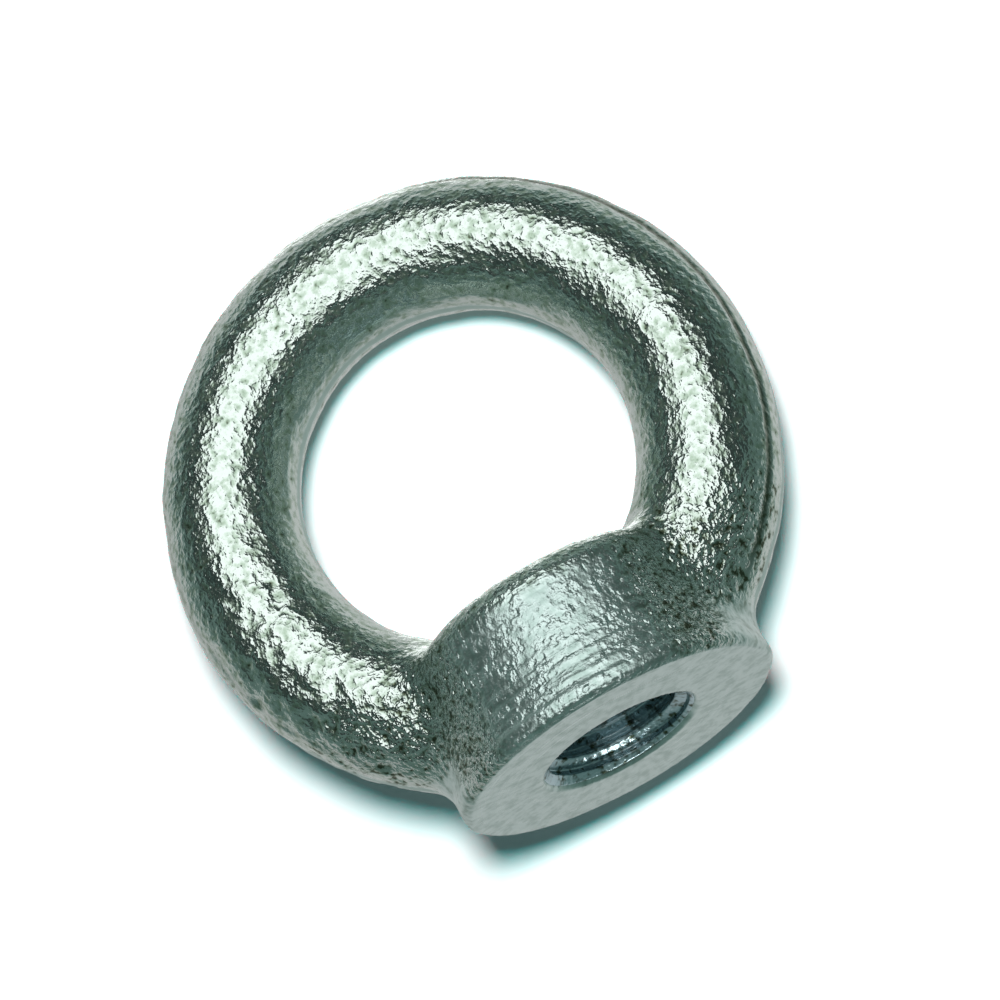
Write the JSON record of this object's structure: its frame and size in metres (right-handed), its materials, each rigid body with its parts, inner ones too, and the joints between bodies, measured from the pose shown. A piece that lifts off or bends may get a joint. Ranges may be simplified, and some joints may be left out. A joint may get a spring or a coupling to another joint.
{
  "type": "lifting eye nut",
  "caption": "Forged lifting eye nut: an upright round ring blended into a turned round collar with a threaded through hole.",
  "frame": {"origin": "centre of the seat face, on the thread axis", "axes": "+Z along the thread axis from the seat to the ring, +X across the eye in the plane of the ring, +Y through the eye"},
  "size_m": [0.0622, 0.0344, 0.0622],
  "materials": {
    "forged_steel": "shot blasted and bright plated, turned on the collar"
  },
  "bodies": {
    "root": {"eye_nut": "forged_steel"}
  },
  "joints": []
}
